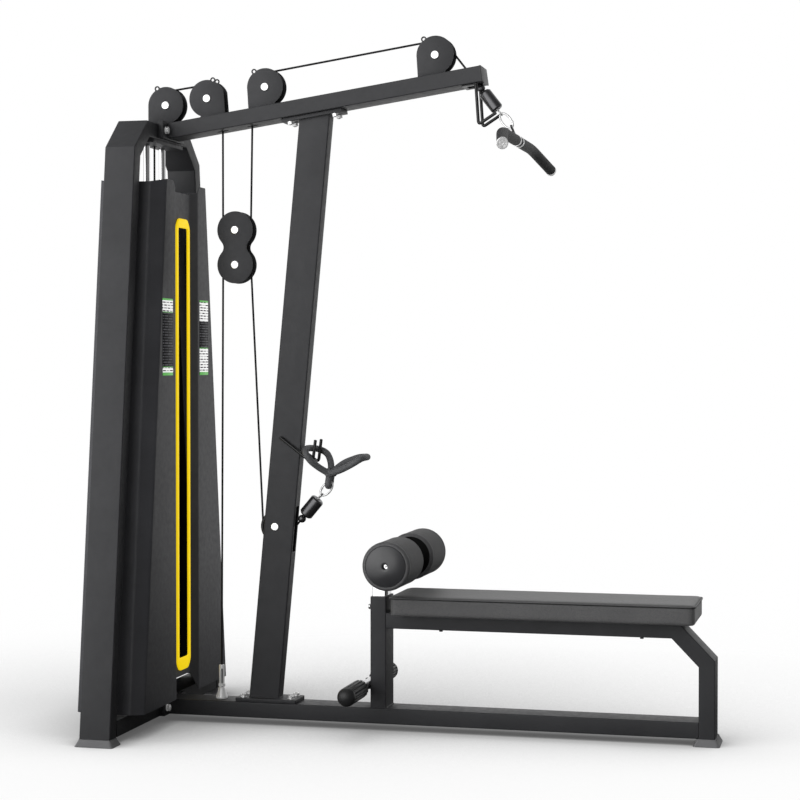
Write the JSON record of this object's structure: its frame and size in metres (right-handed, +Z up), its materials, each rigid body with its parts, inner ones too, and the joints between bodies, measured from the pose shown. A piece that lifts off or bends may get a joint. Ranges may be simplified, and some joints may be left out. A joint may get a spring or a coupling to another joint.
{
  "type": "lat pulldown machine",
  "caption": "Lat pulldown and low row gym machine: shrouded weight stack, sloping pulley beam, bench with thigh rollers, cable-hung bent bar and strap handle.",
  "frame": {"origin": "on the floor, midway between the rear shroud's back and the bench foot's end, on the machine's plane of symmetry", "axes": "+X from the weight stack tower to the rear leg of the bench, +Y across the machine to its far side, +Z up"},
  "size_m": [1.9484, 1.039, 2.1897],
  "materials": {
    "charcoal": "satin",
    "shroud_grey": "satin",
    "black": "satin",
    "swivel_black": "satin",
    "chrome": "polished",
    "footrest_steel": "satin",
    "aluminium": "satin",
    "yellow": "satin",
    "rubber": "matte",
    "vinyl": "satin",
    "foam": "matte",
    "nylon": "satin",
    "strap_grey": "matte",
    "plate_iron": "matte"
  },
  "bodies": {
    "frame": {"tower_frame": "charcoal", "tower_base_bar": "charcoal", "base_beam": "charcoal", "upright": "charcoal", "top_beam": "charcoal", "pulley_bracket_1": "charcoal", "pulley_bracket_2": "charcoal", "pulley_bracket_3": "charcoal", "pulley_bracket_4": "charcoal", "guide_rod_near": "chrome", "guide_rod_far": "chrome", "rod_top_plate": "charcoal", "stack_cushion": "rubber", "weight_plate_2": "plate_iron", "weight_plate_3": "plate_iron", "weight_plate_4": "plate_iron", "resting_plates": "plate_iron", "front_shroud": "shroud_grey", "rear_shroud": "shroud_grey", "slot_frame": "yellow", "foot_near": "rubber", "foot_far": "rubber", "foot_bench": "rubber", "bench_post": "charcoal", "bench_frame": "charcoal", "seat_pad": "vinyl", "footrest_bar": "footrest_steel", "footrest_grip_near": "rubber", "footrest_grip_far": "rubber", "bar_hooks": "black", "handle_hooks": "black", "cable_anchor": "aluminium", "stack_cable": "nylon", "upper_cable": "nylon", "lat_cable": "nylon", "lower_cable": "nylon"},
    "stack": {"stack_head": "plate_iron", "weight_plate_1": "plate_iron"},
    "selector": {"selector_pin": "chrome"},
    "wheel_1": {"pulley_1": "nylon"},
    "wheel_2": {"pulley_2": "nylon"},
    "wheel_3": {"pulley_3": "nylon"},
    "wheel_4": {"pulley_4": "nylon"},
    "floater": {"floater_bracket": "charcoal"},
    "floater_wheel_upper": {"floater_pulley_upper": "nylon"},
    "floater_wheel_lower": {"floater_pulley_lower": "nylon"},
    "row_wheel": {"row_pulley": "nylon"},
    "lat_end": {"lat_swivel": "swivel_black"},
    "lat_turn": {"lat_eye": "chrome"},
    "lat_hang": {"lat_carabiner": "chrome", "lat_bar": "black"},
    "row_lead": {"row_cable": "nylon"},
    "row_end": {"row_swivel": "swivel_black"},
    "row_turn": {"row_eye": "chrome"},
    "row_hang": {"row_carabiner": "chrome", "row_strap": "strap_grey"},
    "roller_carriage": {"roller_post": "chrome"},
    "roller_near_wheel": {"roller_near": "foam"},
    "roller_far_wheel": {"roller_far": "foam"},
    "height_lock": {"height_pin": "chrome"}
  },
  "joints": [
    {"name": "stack_lift", "type": "slide", "parent": "frame", "child": "stack", "axis": [0, 0, 1], "range_m": [0, 0.65], "deforming": ["stack_cable"]},
    {"name": "lat_pull", "type": "slide", "parent": "frame", "child": "lat_end", "axis": [0.6143, 0, -0.7891], "range_m": [0, 0.65], "deforming": ["lat_cable"]},
    {"name": "selector_slide", "type": "slide", "parent": "stack", "child": "selector", "axis": [1, 0, 0], "range_m": [0, 0.06]},
    {"name": "pulley_1_spin", "type": "hinge", "parent": "frame", "child": "wheel_1", "pos_m": [-0.8152, 0, 1.9981], "axis": [0, 1, 0], "continuous": true},
    {"name": "pulley_2_spin", "type": "hinge", "parent": "frame", "child": "wheel_2", "pos_m": [-0.6736, 0, 2.0159], "axis": [0, 1, 0], "continuous": true},
    {"name": "pulley_3_spin", "type": "hinge", "parent": "frame", "child": "wheel_3", "pos_m": [-0.4771, 0, 2.0464], "axis": [0, 1, 0], "continuous": true},
    {"name": "pulley_4_spin", "type": "hinge", "parent": "frame", "child": "wheel_4", "pos_m": [0.0823, 0, 2.127], "axis": [0, 1, 0], "continuous": true},
    {"name": "floater_drop", "type": "slide", "parent": "frame", "child": "floater", "axis": [0, 0, -1], "range_m": [0, 0.3], "stiffness_N_per_m": 60, "springref_m": -0.4, "deforming": ["upper_cable", "lower_cable"]},
    {"name": "floater_upper_spin", "type": "hinge", "parent": "floater", "child": "floater_wheel_upper", "pos_m": [-0.579, 0, 1.591], "axis": [0, 1, 0], "continuous": true},
    {"name": "floater_lower_spin", "type": "hinge", "parent": "floater", "child": "floater_wheel_lower", "pos_m": [-0.579, 0, 1.479], "axis": [0, 1, 0], "continuous": true},
    {"name": "row_pulley_spin", "type": "hinge", "parent": "frame", "child": "row_wheel", "pos_m": [-0.4438, 0, 0.6367], "axis": [0, 1, 0], "continuous": true},
    {"name": "row_swing", "type": "hinge", "parent": "frame", "child": "row_lead", "pos_m": [-0.4438, 0, 0.6367], "axis": [0, 1, 0], "range_deg": [0, 45]},
    {"name": "row_pull", "type": "slide", "parent": "row_lead", "child": "row_end", "axis": [0.6428, 0, 0.766], "range_m": [0, 0.6], "deforming": ["row_cable", "row_strap"]},
    {"name": "lat_spin", "type": "hinge", "parent": "lat_end", "child": "lat_turn", "pos_m": [0.2867, 0, 1.9415], "axis": [0.6143, 0, -0.7891], "continuous": true},
    {"name": "lat_tilt", "type": "hinge", "parent": "lat_turn", "child": "lat_hang", "pos_m": [0.29235, 0, 1.93424], "axis": [0, 1, 0], "range_deg": [-50, 0]},
    {"name": "row_spin", "type": "hinge", "parent": "row_end", "child": "row_turn", "pos_m": [-0.2993, 0, 0.7354], "axis": [0.6428, 0, 0.766], "continuous": true},
    {"name": "row_tilt", "type": "hinge", "parent": "row_turn", "child": "row_hang", "pos_m": [-0.29339, 0, 0.74245], "axis": [0, 1, 0], "range_deg": [-25, 25]},
    {"name": "roller_height", "type": "slide", "parent": "frame", "child": "roller_carriage", "axis": [0, 0, 1], "range_m": [0, 0.096]},
    {"name": "roller_near_spin", "type": "hinge", "parent": "roller_carriage", "child": "roller_near_wheel", "pos_m": [-0.018, 0, 0.543], "axis": [0, 1, 0], "continuous": true},
    {"name": "roller_far_spin", "type": "hinge", "parent": "roller_carriage", "child": "roller_far_wheel", "pos_m": [-0.018, 0, 0.543], "axis": [0, 1, 0], "continuous": true},
    {"name": "height_pin_pull", "type": "slide", "parent": "frame", "child": "height_lock", "axis": [-1, 0, 0], "range_m": [0, 0.012], "stiffness_N_per_m": 500, "springref_m": -0.01}
  ],
  "couplings": [
    {"joint": "lat_pull", "follows": "stack_lift", "ratio": 1},
    {"joint": "pulley_1_spin", "follows": "stack_lift", "rad_per_m": 21.142},
    {"joint": "pulley_2_spin", "follows": "stack_lift", "rad_per_m": 21.142},
    {"joint": "floater_upper_spin", "follows": "stack_lift", "rad_per_m": -21.142},
    {"joint": "pulley_3_spin", "follows": "stack_lift", "rad_per_m": 21.142},
    {"joint": "pulley_4_spin", "follows": "stack_lift", "rad_per_m": 21.142},
    {"joint": "row_pull", "follows": "floater_drop", "ratio": 2},
    {"joint": "floater_lower_spin", "follows": "floater_drop", "rad_per_m": 21.142},
    {"joint": "row_pulley_spin", "follows": "floater_drop", "rad_per_m": -42.283}
  ]
}
